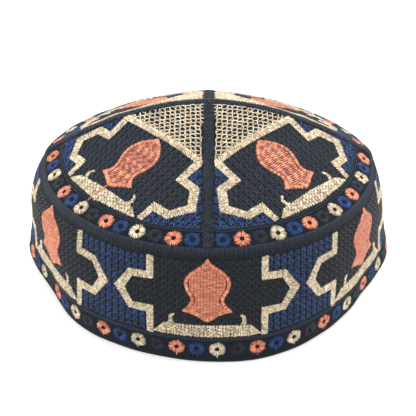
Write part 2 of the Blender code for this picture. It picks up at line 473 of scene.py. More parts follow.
def stitches(surface, paths, width, height, base, widths=None, tones=(0, 1), tip=0.65):
    """Points, faces, places along the thread and shades for a batch of stitches.

    paths has the shape (stitches, stations, 2) and holds places on the surface. base is how far
    the edges lie above the cloth, and height how far the middle lies above them. widths gives
    each station's share of the full width, or else tip the share at both ends, and tones the
    range of the shades.
    """
    count, stations = paths.shape[:2]
    ahead = np.gradient(paths, axis=1)
    ahead /= np.maximum(np.linalg.norm(ahead, axis=-1, keepdims=True), 1e-9)
    taper = np.ones(stations)
    taper[[0, -1]] = tip
    reach = width / 2 * (taper if widths is None else np.asarray(widths))
    edge = left_of(ahead) * reach[None, :, None]
    place = np.stack([paths - edge, paths, paths + edge], axis=2)
    lift = np.full((count, stations, 3), base, float)
    lift[:, :, 1] += height
    lift[:, [0, -1], :] = -END_DIVE
    lift[:, [0, -1], 1] = END_SHARE * (base + height)
    points = raised(surface, place, lift)
    run = np.linalg.norm(np.diff(paths, axis=1), axis=-1)
    run = np.concatenate([np.zeros((count, 1)), np.cumsum(run, axis=1)], axis=1)
    start = rng.uniform(0, 9, (count, 1))  # so that no two stitches show the same ply
    across = np.array([-width / 2, 0, width / 2])
    along = np.stack(np.broadcast_arrays(across[None, None, :], (run + start)[:, :, None]), -1)
    index = np.arange(count * stations * 3).reshape(count, stations, 3)
    corners = [index[:, :-1, :-1], index[:, :-1, 1:], index[:, 1:, 1:], index[:, 1:, :-1]]
    faces = np.stack(corners, axis=-1).reshape(-1, 4)
    first = points[0]
    facing = np.cross(first[0, 2] - first[0, 0], first[1, 1] - first[0, 1])
    if facing @ normals(surface, paths[0, 0][None])[0] < 0:
        faces = faces[:, ::-1]
    shade = np.repeat(rng.uniform(*tones, count), stations * 3)
    return points.reshape(-1, 3), faces, along.reshape(-1, 2), shade


# %% Straight and bowed paths
def straight(starts, ends, shoulder=0.22):
    """Paths of straight stitches. Their inner stations are a share of the way in from the ends."""
    share = np.array([0, shoulder, 1 - shoulder, 1])
    return starts[:, None] + (ends - starts)[:, None] * share[None, :, None]


def bowed(starts, ends, bow):
    """Paths that bend to their left by a distance in their middle."""
    ahead = ends - starts
    aside = left_of(ahead) / np.linalg.norm(ahead, axis=1, keepdims=True)
    paths = straight(starts, ends)
    paths[:, 1:3] += (aside * np.broadcast_to(bow, len(aside))[:, None])[:, None]
    return paths


# %% From stitches to a piece
def finished(piece, replaced=()):
    """Every piece of the cap rides on its one body, and the solids that it stands for are hidden.
    """
    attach(piece, "root")
    if replaced:
        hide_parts(*replaced)
    faces = sum(len(polygon.vertices) - 2 for polygon in piece.data.polygons)
    print(f"{piece.name}: {faces} triangles")
    return piece


def mesh_piece(name, points, faces, material, along):
    """A smooth mesh object. along holds each point's place on its thread or cloth, in mm."""
    mesh = bpy.data.meshes.new(name)
    mesh.from_pydata((points * 0.001).tolist(), [], faces.tolist())
    mesh.materials.append(material)
    mesh.shade_smooth()
    layer = mesh.uv_layers.new(name="along")
    corners = np.empty(len(mesh.loops), np.int32)
    mesh.loops.foreach_get("vertex_index", corners)
    layer.data.foreach_set("uv", along[corners].astype(np.float32).ravel())
    piece = bpy.data.objects.new(name, mesh)
    bpy.context.scene.collection.objects.link(piece)
    return piece


def sew(name, batches, material):
    """Joins batches of stitches of one thread into one piece."""
    points, faces, along, shade = zip(*batches)
    before = np.cumsum([0] + [len(part) for part in points[:-1]])
    faces = [part + start for part, start in zip(faces, before)]
    points, faces, along, shade = map(np.concatenate, (points, faces, along, shade))
    piece = mesh_piece(name, points, faces, material, along)
    tones = piece.data.attributes.new("shade", "FLOAT", "POINT")
    tones.data.foreach_set("value", shade.astype(np.float32))
    return finished(piece)


# %% [markdown]
# ## Satin stitch, and stitches that are split
# Satin is the close zigzag that fills a narrow shape from one edge to the other. Real satin has
# two or three threads to a millimetre. That is too fine to show here, so it is drawn at 0.66 mm.
# A stitch longer than a few millimetres would snag, so the needle goes down along the way. Those
# dips, a little further on in each stitch, give broad satin its flecks.

# %% Satin
ZIGZAG_LEAN = 0.12  # as a share of the pitch
TOOTH, TOOTH_SINK = 0.24, 0.06  # reach of every second stitch, and how far all of them draw in
SPOT_STRAY, END_STRAY = 0.05, 0.08


def along_line(line, lengths, spots):
    """Points on a line at distances that are measured with the given lengths of its parts."""
    total = np.concatenate([[0], np.cumsum(lengths)])
    spots = np.clip(spots, 0, total[-1])
    return np.stack([np.interp(spots, total, line[:, axis]) for axis in (0, 1)], axis=-1)


def satin(one_edge, other_edge, pitch):
    """Starts and ends of the zigzag that satin stitch is: one leans forward, the next leans back.

    Every second stitch reaches a little further, so both edges are toothed.
    """
    sides = [np.linalg.norm(np.diff(edge, axis=0), axis=1) for edge in (one_edge, other_edge)]
    lengths = np.maximum(*sides)
    spots = np.arange(pitch / 2, lengths.sum(), pitch)
    spots = spots + rng.normal(0, SPOT_STRAY, len(spots))
    lean = ZIGZAG_LEAN * pitch * (-1.0) ** np.arange(len(spots))
    starts = along_line(one_edge, lengths, spots + lean)
    ends = along_line(other_edge, lengths, spots - lean)
    ahead = (ends - starts) / np.linalg.norm(ends - starts, axis=1, keepdims=True)
    tooth = TOOTH * (np.arange(len(starts)) % 2)[:, None] - TOOTH_SINK
    starts = starts - ahead * (tooth + rng.normal(0, END_STRAY, (len(starts), 1)))
    ends = ends + ahead * (tooth + rng.normal(0, END_STRAY, (len(ends), 1)))
    return starts, ends


# %% Split stitches
SHORTEST_STITCH, CUT_STRAY = 0.7, 0.1


def split(starts, ends, longest, stagger):
    """Cuts long stitches where the needle goes down in between, further along in each next one."""
    cut_starts, cut_ends = [], []
    for k, (start, end) in enumerate(zip(starts, ends)):
        length = np.linalg.norm(end - start)
        back = (k * stagger) % 1
        cuts = (np.arange(0, length / longest + 1) - back) * longest + rng.normal(0, CUT_STRAY)
        cuts = cuts[(cuts > SHORTEST_STITCH) & (cuts < length - SHORTEST_STITCH)]
        cuts = np.concatenate([[0], cuts, [length]]) / length
        points = start + (end - start) * cuts[:, None]
        cut_starts.append(points[:-1])
        cut_ends.append(points[1:])
    return np.concatenate(cut_starts), np.concatenate(cut_ends)


# %% Batches of satin
SATIN_PITCH = 0.66
# Over a broad shape the threads touch, so that the dips show as small flecks.
BROAD = {
    "pitch": 0.8, "width": 0.84, "height": 0.4, "tones": (0, 0.9),
    "longest": 1.9, "stagger": 0.37, "shoulder": 0.3,
}


def satin_batch(
    surface, one_edge, other_edge, middle=0.0, pitch=SATIN_PITCH, width=0.58, height=0.45,
    base=0.25, tones=(0, 1), longest=1.5, stagger=0.45, shoulder=0.22,
):
    """Satin with teeth along both edges, narrow unless told otherwise.

    middle moves it along the surface, and longest and stagger are those of its split stitches.
    """
    starts, ends = split(*satin(one_edge, other_edge, pitch), longest, stagger)
    move = np.array([middle, 0.0])
    paths = straight(starts + move, ends + move, shoulder)
    return stitches(surface, paths, width, height, base, tip=0.2, tones=tones)


# %% [markdown]
# ## The cloth
# Under the thread is a stiff black cotton twill with a backing. It is matt, with a faint fuzz that
# lightens it at grazing angles, which sheen gives. The diagonal rib of the twill is 0.5 mm apart
# on the real cloth and is drawn at 0.8 mm, so that it survives in the picture.

# %% Cloth material
TWILL_PITCH = 0.8


def cloth_material(name, dark, light):
    """Twill in two tones that drift into each other, as worn black cloth does."""
    material, shader = new_material(name, roughness=0.85, sheen=0.03, gloss=0.12)
    spot = add_node(material, "ShaderNodeUVMap", uv_map="along").outputs["UV"]
    drift = {"Vector": spot, "Scale": 0.9, "Detail": 6.0, "Roughness": 0.65}
    cloud = add_node(material, "ShaderNodeTexNoise", drift)
    twill = {"Vector": spot, "Scale": WAVE_REPEAT / TWILL_PITCH, "Distortion": 1.5, "Detail": 2.0}
    relief = {"Strength": 0.5, "Distance": 0.00015}
    fibre(material, shader, cloud, (dark, light), (0.3, 0.7), twill, relief)
    return material


TWILL = cloth_material("black cotton twill", "#060A10", "#161E29")
TAPE = cloth_material("black cotton tape", "#10161D", "#272E38")
print("Cloths:", [cloth.name for cloth in (TWILL, TAPE)])


# %% A sheet of cloth with two faces
def sheet(name, surface, grid, material, replaced, closed=False, lift=None):
    """A shell over a grid of places, its inner face one cloth thickness below the outer one."""
    rows, columns = grid.shape[:2]
    lift = np.zeros((rows, columns)) if lift is None else lift
    outer = raised(surface, grid, lift)
    inner = raised(surface, grid, np.full((rows, columns), -CLOTH_THICKNESS))
    points = np.concatenate([outer.reshape(-1, 3), inner.reshape(-1, 3)])
    along = np.concatenate([grid.reshape(-1, 2)] * 2)
    index = np.arange(rows * columns).reshape(rows, columns)
    if closed:
        index = np.concatenate([index, index[:, :1]], axis=1)
    below, above = index[:-1], index[1:]
    corners = [below[:, :-1], below[:, 1:], above[:, 1:], above[:, :-1]]
    face = np.stack(corners, axis=-1).reshape(-1, 4)
    under = rows * columns
    edges = [index[0], index[-1][::-1]]
    if not closed:
        edges += [index[::-1, 0], index[:, -1]]
    rims = [np.stack([e[1:], e[:-1], e[:-1] + under, e[1:] + under], axis=-1) for e in edges]
    faces = np.concatenate([face, face[:, ::-1] + under, *rims])
    corner, beside, _, above_it = points[face[len(face) // 2]]
    if np.cross(beside - corner, above_it - corner) @ (corner - CAP_MIDDLE) < 0:
        faces = faces[:, ::-1]
    piece = mesh_piece(name, points, faces, material, along)
    return finished(piece, replaced)


# %% The band's cloth
HEM_TURN, HEM_TUCK = 1.6, 0.9  # height of the turned edge, and how far it draws in

hem_heights = np.array([0.0, 0.3, 0.8, HEM_TURN])
heights = np.concatenate([hem_heights, np.linspace(3, BAND_HEIGHT - SEAM_GAP, 30)])
around = np.linspace(0, BAND_LENGTH, 320, endpoint=False)
grid = grid_of(around, heights)
turned_edge = -HEM_TUCK * np.maximum(0, 1 - grid[..., 1] / HEM_TURN) ** 2
sheet("band_cloth", band, grid, TWILL, ["side_band"], closed=True, lift=turned_edge)

# %% The gores' cloth
inset = STRIP_WIDTH / 2 + SEAM_GAP
edge_inset = math.asin(inset / CROWN_EDGE_RADIUS)
angles = np.linspace(edge_inset, math.pi / 2 - edge_inset, 60)
shares = np.linspace(0.004, 1, 48)
for name, (across, along) in GORES.items():
    rim_line = np.stack([across * np.sin(angles), along * np.cos(angles)], -1) * CROWN_EDGE_RADIUS
    corner = np.array([across * inset, along * inset])
    grid = corner + (rim_line[None] - corner) * shares[:, None, None]
    sheet(f"gore_cloth_{name}", crown, grid, TWILL, [f"crown_gore_{name}"])

# %% [markdown]
# ## Strips and roll
# Plain tape covers the seams between the gores. It stands a little proud, is rounded like piping,
# and close black stitches run over it from side to side. The roll is cloth over a cord. Black
# stitches run up over it as fine ribs, and shorter, darker ones cover its foot on the band.

# %% Strips
TAPE_RISE, TAPE_SINK, TAPE_ROUNDING = 0.55, 0.1, 0.8

tape_share = np.linspace(-1, 1, 9)
tape_lift = TAPE_RISE * np.sqrt(np.maximum(0, 1 - TAPE_ROUNDING * tape_share**2)) - TAPE_SINK


def strip(name, start, end, columns, along_x):
    """One strip of tape, in place of the CAD solid of the same name."""
    run = np.linspace(start, end, columns)
    wide, long = np.meshgrid(STRIP_WIDTH / 2 * tape_share, run)
    grid = np.stack([long, wide] if along_x else [wide, long], axis=-1)
    lift = np.broadcast_to(tape_lift, wide.shape)
    sheet(name + "_tape", crown, grid, TAPE, [name], lift=lift)


strip("ridge_strip", -CROWN_EDGE_RADIUS, CROWN_EDGE_RADIUS, 120, True)
strip("front_strip", -CROWN_EDGE_RADIUS, -inset, 60, False)
strip("rear_strip", inset, CROWN_EDGE_RADIUS, 60, False)

# %% Stitches over the strips
OVERLOCK_PITCH, OVERLOCK_SLANT = 0.9, 0.25
OVERLOCK_REACH = STRIP_WIDTH / 2 + 0.6


def overlock(start, end, along_x):
    """Close black stitches across a strip, with uneven ends."""
    run = np.arange(start, end, OVERLOCK_PITCH)
    reach = OVERLOCK_REACH + rng.normal(0, 0.2, (2, len(run)))
    sides = [np.stack([run + rng.normal(0, 0.1, len(run)), reach[0]], -1)]
    sides.append(np.stack([run + rng.normal(0, 0.1, len(run)) + OVERLOCK_SLANT, -reach[1]], -1))
    if not along_x:
        sides = [side[:, ::-1] for side in sides]
    starts, ends = split(*sides, longest=1.9, stagger=0.62)
    return stitches(crown, straight(starts, ends), width=0.7, height=0.3, base=0.55)


end = CROWN_EDGE_RADIUS - 1
overlocks = [overlock(-end, end, True), overlock(-end, -inset, False), overlock(inset, end, False)]
sew("strip_stitches", overlocks, BLACK)

# %% Roll
ROLL_OVERLAP, ROLL_LIP = 0.4, 0.15  # how far it reaches onto the crown, and how high it is there

grid = grid_of(around, np.linspace(0, 1, 9))
lift = ROLL_LIP * grid[..., 1] ** 4
grid[..., 1] *= roll_arc(azimuth_at(grid[..., 0])) + ROLL_OVERLAP
sheet("rim_roll_cord", rim, grid, TAPE, ["rim_roll"], closed=True, lift=lift)

# %% Ribs of the roll
RIB_PITCH, RIB_SLANT = 1.05, 0.25
RIB_WIDTHS = (0.4, 0.7, 0.85, 1, 1, 1, 0.7)  # as shares, from below the roll to the crown
FOOT_LOW, FOOT_HIGH = -2.2, 0.9  # ends of the foot's stitches, from the roll's lower edge

places = np.arange(0, BAND_LENGTH, RIB_PITCH)
shares = np.linspace(-0.2, 1.08, len(RIB_WIDTHS))
slants = RIB_SLANT + rng.normal(0, 0.14, (len(places), 1))
ribs = np.empty((len(places), len(shares), 2))
ribs[..., 0] = places[:, None] + rng.normal(0, 0.08, (len(places), 1)) + slants * shares
ribs[..., 1] = roll_arc(azimuth_at(places))[:, None] * shares
ribs[..., 1] += rng.normal(0, 0.15, (len(places), 1))
lows = np.stack([places, rng.normal(FOOT_LOW, 0.4, len(places))], axis=-1)
highs = np.stack([places + 0.2, rng.normal(FOOT_HIGH, 0.3, len(places))], axis=-1)
feet = straight(lows, highs)
roll_batches = [
    stitches(rim, feet, width=0.66, height=0.3, base=0.08, tones=(0, 0.3), tip=0.4),
    stitches(rim, ribs, width=0.7, height=0.6, base=0.1, widths=RIB_WIDTHS, tones=(0.8, 1)),
]
sew("rim_ribs", roll_batches, BLACK)

# %% [markdown]
# ## The pattern
# Every gore and every sixth of the band carries the same motif: a black field with a stepped
# cream outline at each side, a sandal sole in coral, and a cream bar with two small horns below.
# The outline is given by its two edges, because satin stitch runs from one edge to the other.
# Each list goes from the middle of the crown, or from the top of the band, downwards.

# %% Outline of the field
GORE_EDGE_INNER = np.array([
    (24.2, 32.8), (24.6, 46.2), (34.0, 46.0), (38.8, 52.0),
    (34.6, 59.2), (25.4, 60.4), (25.0, 71.1),
])
GORE_EDGE_OUTER = np.array([
    (28.3, 32.4), (28.0, 42.2), (36.4, 41.8), (43.8, 51.6),
    (36.6, 62.7), (28.6, 63.9), (27.9, 70.4),
])
BAND_EDGE_INNER = np.array([
    (25.9, 57.2), (25.9, 45.2), (36.9, 44.3), (40.9, 37.2),
    (36.8, 30.0), (26.0, 30.3), (25.9, 15.2),
])
BAND_EDGE_OUTER = np.array([
    (29.4, 57.4), (29.3, 48.6), (38.6, 48.1), (46.4, 36.9),
    (38.7, 26.2), (29.4, 26.2), (29.1, 15.3),
])
PANELS = 6
PANEL_PITCH = BAND_LENGTH / PANELS
PANEL_MIDDLES = [panel * PANEL_PITCH for panel in range(PANELS)]
print(f"Motifs: {len(GORES)} on the crown, and {PANELS} on the band, {PANEL_PITCH:.1f} mm apart")

# %% Horns and bars
GORE_HORN_INNER = np.array([(14.2, 68.4), (15.7, 66.6), (15.8, 65.0), (14.6, 63.5)])
GORE_HORN_OUTER = np.array([(16.8, 68.4), (17.6, 66.3), (17.2, 64.2), (14.6, 62.6)])
BAND_HORN_INNER = np.array([(16.0, 22.0), (16.8, 24.4), (16.7, 26.1), (15.5, 27.1)])
BAND_HORN_OUTER = np.array([(18.6, 22.0), (18.6, 24.6), (18.0, 26.8), (15.7, 28.0)])
GORE_SIDES = [(GORE_EDGE_INNER, GORE_EDGE_OUTER), (GORE_HORN_INNER, GORE_HORN_OUTER)]
BAND_SIDES = [(BAND_EDGE_INNER, BAND_EDGE_OUTER), (BAND_HORN_INNER, BAND_HORN_OUTER)]

GORE_BAR_TOP = np.array([(-24.2, 71.2), (-19.4, 68.2), (0, 68.0), (19.4, 68.2), (24.2, 71.2)])
BAND_BAR_TOP = np.array([(-25.8, 16.4), (-20.6, 21.8), (0, 22.2), (20.6, 21.8), (25.8, 16.4)])
BAND_BAR_FOOT = np.array([(-25.8, 16.2), (-20.6, 15.4), (0, 15.4), (20.6, 15.4), (25.8, 16.2)])

# The gore's bar ends on an arc, beside the cord that runs round the crown.
BAR_FOOT_RADIUS, BAR_FOOT_REACH = 75.2, 23.4
reach = np.clip(GORE_BAR_TOP[:, 0], -BAR_FOOT_REACH, BAR_FOOT_REACH)
GORE_BAR_FOOT = np.stack([reach, np.sqrt(BAR_FOOT_RADIUS**2 - reach**2)], axis=-1)
print("The bar's foot on a gore:", GORE_BAR_FOOT.round(1).tolist())

# %% Cream satin
LATTICE_EDGE_INNER = np.array([(-26.4, 30.0), (26.4, 30.0)])
LATTICE_EDGE_OUTER = np.array([(-28.6, 33.4), (28.6, 33.4)])


def mirrored(points, side):
    """The points for one side of a motif: 1 leaves them, -1 turns them over."""
    return points * np.array([side, 1.0])


def side_batches(surface, shapes, middle=0.0):
    """The satin of shapes that stand at both sides of a motif."""
    return [
        satin_batch(surface, mirrored(inner, side), mirrored(outer, side), middle)
        for side in (-1, 1)
        for inner, outer in shapes
    ]


gore_outlines, band_outlines = [], []
for signs in GORES.values():
    surface = gore(*signs)
    gore_outlines += side_batches(surface, GORE_SIDES)
    gore_outlines.append(satin_batch(surface, GORE_BAR_TOP, GORE_BAR_FOOT, **BROAD))
    gore_outlines.append(satin_batch(surface, LATTICE_EDGE_INNER, LATTICE_EDGE_OUTER))
for middle in PANEL_MIDDLES:
    band_outlines += side_batches(band, BAND_SIDES, middle)
    band_outlines.append(satin_batch(band, BAND_BAR_TOP, BAND_BAR_FOOT, middle, **BROAD))

sew("crown_outlines", gore_outlines, CREAM)
sew("band_outlines", band_outlines, CREAM)

# %% [markdown]
# ## The lattice round the crown's middle
# Next to the crown's middle the ground is an open cream net. In each row two threads run side by
# side from node to node, and the needle pushes them apart into a leaf-shaped eye. Pairs of threads
# cross between the rows and swell towards the nodes. The real net has two small holes above every
# node. The thread between them is too fine to show, so one hole is left. The black cloth shows in
# all the holes.

# %% Threads of the lattice
NET_PITCH = np.array([3.7, 3.54])
NET_START = np.array([0.7, 1.75])
NET_COLUMNS, NET_ROWS = 9, 9  # columns to each side
EYE_OPENING, PAIR_OPENING = 0.94, 0.32  # how far the threads bow
NODE_STRAY, THREAD_STRAY, BOW_STRAY = 0.12, 0.08, 0.07


def net_threads():
    """Paths of the net's threads over one whole gore, and the layer that each lies in."""
    nodes = grid_of(np.arange(-NET_COLUMNS, NET_COLUMNS), np.arange(NET_ROWS)).reshape(-1, 2)
    nodes = nodes * NET_PITCH + NET_START
    nodes = nodes + rng.normal(0, NODE_STRAY, nodes.shape)
    paths, layers = [], []

    def lay(start, end, bow, layer):
        loose = rng.normal(0, THREAD_STRAY, (2, *nodes.shape))
        starts = nodes + np.multiply(start, NET_PITCH) + loose[0]
        ends = nodes + np.multiply(end, NET_PITCH) + loose[1]
        paths.append(bowed(starts, ends, bow + rng.normal(0, BOW_STRAY, len(nodes))))
        layers.append(np.full(len(nodes), layer))

    for side in (-1, 1):
        lay((0, 0), (1, 0), side * EYE_OPENING, 0)
        for bow in (0.0, PAIR_OPENING):
            lay((0, 0), (side / 2, 0.5), side * bow, 1)
            lay((side / 2, 0.5), (side, 1), -side * bow, 2)
    return np.concatenate(paths), np.concatenate(layers)


# %% Lattice
NET_END, NET_CLEARANCE = 31.2, 0.15  # distance from the crown's middle, and from the strips
NET_WIDTHS = (0.31, 0.24, 0.24)  # of the threads in each layer


def lattice_batches(surface):
    """The net from the crown's middle out to the satin edge, one batch for each layer."""
    paths, layers = net_threads()
    middle = paths.mean(axis=1)
    u, v = middle[:, 0], middle[:, 1]
    keep = (v < NET_END) & ((v - np.abs(u)) / math.sqrt(2) > inset + NET_CLEARANCE)
    batches = []
    for layer, width in enumerate(NET_WIDTHS):
        chosen, base = paths[keep & (layers == layer)], 0.08 + 0.03 * layer
        batches.append(stitches(surface, chosen, width, height=0.2, base=base, tones=(0.1, 1)))
    return batches


lattice = [batch for signs in GORES.values() for batch in lattice_batches(gore(*signs))]
sew("crown_lattice", lattice, CREAM)

# %% [markdown]
# ## The grounds in columns
# The black ground inside the outlines and the navy ground outside them are one stitch, on the
# crown and on the band: upright columns of small arches. Threads lead in from both sides to the
# middle of a column, like the barbs of a feather, and part round a small eye. A dark slot is left
# between two columns. A real arch is two or three threads of 0.4 mm, and is drawn as one broader
# thread. Inside the outlines of the band the threads lie so close that the eyes nearly shut.

# %% Column filling
LINK_STITCHES = (  # start, end and bow of the threads on one side of an eye, which is at (0, 0)
    ((1.45, -0.35), (0.0, 0.66), -0.2),
    ((1.45, -0.35), (0.0, -0.66), 0.15),
    ((1.2, 0.5), (0.0, 1.3), 0.0),
    ((1.2, 1.4), (0.0, 2.15), 0.0),
)
EYE_STRAY, LINK_STRAY = 0.07, 0.05


def link_eyes(columns, links, pitch, first):
    """The places of the eyes: so many columns and links, at a pitch, from the first one on."""
    eyes = grid_of(np.arange(columns), np.arange(links)).reshape(-1, 2)
    eyes = eyes * np.array(pitch) + np.array(first)
    return eyes + rng.normal(0, EYE_STRAY, eyes.shape)


def sew_links(surface, eyes, up, zone, field, grounds):
    """Adds the threads round every eye to the grounds. up says which way the arches point.

    zone and field say whether a place is in the pattern, and inside its outlines. Each ground is
    its list of batches, whether it lies inside, its threads' width, how far they spread into the
    slots as a share, and their tones.
    """
    for order, (start, end, bow) in enumerate(LINK_STITCHES):
        for side in (-1, 1):
            turned = np.array([side, up])
            loose = rng.normal(0, LINK_STRAY, (2, *eyes.shape))
            for batches, inside, width, spread, tones in grounds:
                starts = eyes + start * turned * [spread, 1] + loose[0]
                ends = eyes + end * turned * [spread, 1] + loose[1]
                middle = (starts + ends).T / 2
                keep = zone(*middle) & (field(*middle) == inside)
                paths = bowed(starts[keep], ends[keep], side * up * bow)
                batches.append(stitches(surface, paths, width, 0.3, base=0.03 * order, tones=tones))


# %% Grounds of the crown
CORD_RADIUS = 76.6
GROUND_START, CORD_CLEARANCE, STRIP_CLEARANCE = 32, 0.8, 0.5
CROWN_EYES = (32, 14, (3.45, 3.35), (-54.2, 33.0))  # columns, links, pitch and first eye


def in_gore_field(u, v):
    """Whether a place lies inside the middle line of the gore's stepped outline."""
    line = (GORE_EDGE_INNER + GORE_EDGE_OUTER) / 2
    return np.abs(u) < np.interp(v, line[:, 1], line[:, 0])


def on_gore(u, v):
    """Whether a place lies between the lattice, the strips and the cord."""
    inside_cord = np.hypot(u, v) < CORD_RADIUS - CORD_CLEARANCE
    off_strips = v - np.abs(u) > (inset + STRIP_CLEARANCE) * math.sqrt(2)
    return (v > GROUND_START) & inside_cord & off_strips


crown_navy, crown_black = [], []
grounds = [(crown_navy, False, 0.62, 1.0, (0, 1)), (crown_black, True, 0.6, 1.0, (0.1, 1))]
for signs in GORES.values():
    eyes = link_eyes(*CROWN_EYES)
    sew_links(gore(*signs), eyes, -1, on_gore, in_gore_field, grounds)

sew("crown_ground_navy", crown_navy, NAVY)
sew("crown_ground_black", crown_black, BLACK)

# %% Grounds of the band
COLUMNS = 159
BAND_EYES = (COLUMNS, 13, (BAND_LENGTH / COLUMNS, 3.5), (1.2, 12.5))
BAND_GROUND_FOOT, BAND_GROUND_TOP = 15.6, 57.6


def in_band_field(s, h):
    """Whether a place lies inside the middle line of its panel's stepped outline."""
    line = ((BAND_EDGE_INNER + BAND_EDGE_OUTER) / 2)[::-1]
    local = (s + PANEL_PITCH / 2) % PANEL_PITCH - PANEL_PITCH / 2
    return np.abs(local) < np.interp(h, line[:, 1], line[:, 0])


def on_band(s, h):
    """Whether a place lies between the cord and the roll's stitches, wherever round it is."""
    return (h > BAND_GROUND_FOOT) & (h < BAND_GROUND_TOP)


band_navy, band_black = [], []
grounds = [(band_navy, False, 0.68, 1.0, (0, 0.7)), (band_black, True, 0.62, 1.27, (0, 0.35))]
sew_links(band, link_eyes(*BAND_EYES), 1, on_band, in_band_field, grounds)
sew("band_ground_navy", band_navy, NAVY)
sew("band_ground_black", band_black, BLACK)

# %% [markdown]
# ## The sandal soles
# Each sole is filled with rows of stitches that run across it. On the band the rows are close,
# and the needle leaves a small hole in a different place in each. On the crown they are looser,
# and open between the places where the needle goes in. A satin border closes the edge. The
# outline is drawn through a few points on one side and mirrored.

# %% Sole outline
GORE_SOLE = np.array([
    (0, 34.0), (5.2, 37.7), (8.7, 41.9), (10.0, 46.2), (9.0, 51.2), (7.3, 55.6),
    (8.0, 58.6), (10.8, 61.5), (6.4, 63.4), (2.8, 65.5), (0, 66.3),
])
BAND_SOLE = np.array([
    (0, 58.2), (1.6, 55.9), (4.6, 53.5), (9.3, 49.4), (11.1, 45.2), (10.1, 40.7),
    (8.1, 37.2), (8.4, 34.2), (12.0, 29.4), (5.9, 27.6), (0, 24.2),
])
GORE_HEEL, BAND_HEEL = 7, 8  # the point at the corner of the heel
CURVE_PARTS = 5


def smooth_line(points, corner):
    """A curve through the points, sharp at its start and at one corner, and level at its end."""
    line = []
    last = len(points) - 1
    for i in range(last):
        a, b = points[i], points[i + 1]
        before = 2 * a - b if i in (0, corner) else points[i - 1]
        if i + 1 == corner:
            after = 2 * b - a
        else:
            after = mirrored(a, -1) if i + 1 == last else points[i + 2]
        t = (np.arange(CURVE_PARTS) / CURVE_PARTS)[:, None]
        second = 2 * before - 5 * a + 4 * b - after
        third = 3 * a - before - 3 * b + after
        line.append((2 * a + (b - before) * t + second * t**2 + third * t**3) / 2)
    return np.concatenate([*line, points[-1:]])


GORE_HALF, BAND_HALF = smooth_line(GORE_SOLE, GORE_HEEL), smooth_line(BAND_SOLE, BAND_HEEL)
print(f"Soles: {np.ptp(GORE_HALF[:, 1]):.0f} and {np.ptp(BAND_HALF[:, 1]):.0f} mm long")

# %% Border of a sole
SOLE_BORDER = 1.8


def inset_line(loop, distance):
    """A closed line moved inwards by a distance, with its corners kept sharp."""
    ahead = np.roll(loop, -1, axis=0) - loop
    ahead /= np.linalg.norm(ahead, axis=1, keepdims=True)
    aside = left_of(ahead)
    before = np.roll(aside, 1, axis=0)
    meeting = np.maximum(1 + (aside * before).sum(1, keepdims=True), 0.45)
    area = (loop[:, 0] * np.roll(loop[:, 1], -1) - loop[:, 1] * np.roll(loop[:, 0], -1)).sum()
    return loop + np.sign(area) * distance * (aside + before) / meeting


def sole_border(surface, half, middle=0.0):
    """Satin round a sole, from the half of its outline."""
    loop = np.concatenate([half, mirrored(half[-2:0:-1], -1)])
    inner = inset_line(loop, SOLE_BORDER)
    loop, inner = np.concatenate([loop, loop[:1]]), np.concatenate([inner, inner[:1]])
    return satin_batch(surface, loop, inner, middle, pitch=0.62, width=0.6, base=0.4, longest=9)


# %% Rows of a sole on the crown
CROWN_ROW_PITCH, DIP_PITCH = 1.0, 4.3
LOW_MARGIN, HIGH_MARGIN, SIDE_MARGIN, SHORTEST_ROW = 1.6, 1.4, 0.3, 0.6


def reaches(half, pitch):
    """The levels of a sole's rows, and how far each row reaches to either side."""
    order = np.argsort(half[:, 1])
    across, level = half[order].T
    levels = np.arange(level[0] + LOW_MARGIN, level[-1] - HIGH_MARGIN, pitch)
    reach = np.interp(levels, level, across) - SOLE_BORDER - SIDE_MARGIN
    return levels[reach > SHORTEST_ROW], reach[reach > SHORTEST_ROW]


def crown_sole(surface):
    """Loose rows that touch where the needle goes in, and part in between."""
    levels, reach = reaches(GORE_HALF, CROWN_ROW_PITCH)
    across = reach[:, None] * np.linspace(-1, 1, 17)
    phases = rng.normal(0, 1.0, (len(levels), 1))
    widths = 0.72 + 0.33 * np.cos(2 * math.pi * across / DIP_PITCH + phases)
    wave = 0.2 * np.sin(0.9 * across + 0.25 * levels[:, None])
    rows = levels[:, None] + wave + rng.normal(0, 0.05, across.shape)
    paths = np.stack([across, rows], axis=-1)
    return [
        stitches(surface, path[None], 0.95, 0.42, 0.25, share, tones=(0, 0.75))
        for path, share in zip(paths, widths)
    ]


# %% Rows of a sole on the band
BAND_ROW_PITCH, HOLE_PITCH, HOLE_SIZE = 0.5, 3.0, 0.4


def band_sole(middle):
    """Close rows of short stitches that leave a small hole between every two."""
    starts, ends = [], []
    for row, (level, reach) in enumerate(zip(*reaches(BAND_HALF, BAND_ROW_PITCH))):
        holes = (np.arange(-6, 7) + 0.4 + row % 2 / 2) * HOLE_PITCH
        holes = holes[np.abs(holes) < reach - 0.6]
        cuts = np.concatenate([[-reach], holes, [reach]]) + rng.normal(0, 0.08, len(holes) + 2)
        starts += [(middle + cut + HOLE_SIZE / 2, level) for cut in cuts[:-1]]
        ends += [(middle + cut - HOLE_SIZE / 2, level) for cut in cuts[1:]]
    uneven = np.array([0, 0.07])
    starts = np.array(starts) + rng.normal(0, uneven, (len(starts), 2))
    ends = np.array(ends) + rng.normal(0, uneven, (len(ends), 2))
    return stitches(band, straight(starts, ends), 0.55, 0.4, base=0.3, tones=(0.1, 0.75))


# %% Soles
crown_soles, band_soles = [], []
for signs in GORES.values():
    surface = gore(*signs)
    crown_soles += [*crown_sole(surface), sole_border(surface, GORE_HALF)]
for middle in PANEL_MIDDLES:
    band_soles += [band_sole(middle), sole_border(band, BAND_HALF, middle)]
sew("crown_soles", crown_soles, CORAL)
sew("band_soles", band_soles, CORAL)

# %% [markdown]
# ## The rows of rings
# Satin rings run round the crown and round the hem in four colours. A ring is sewn round and
# round its middle, so its stitches are narrow inside and wide outside, and its rim is toothed.

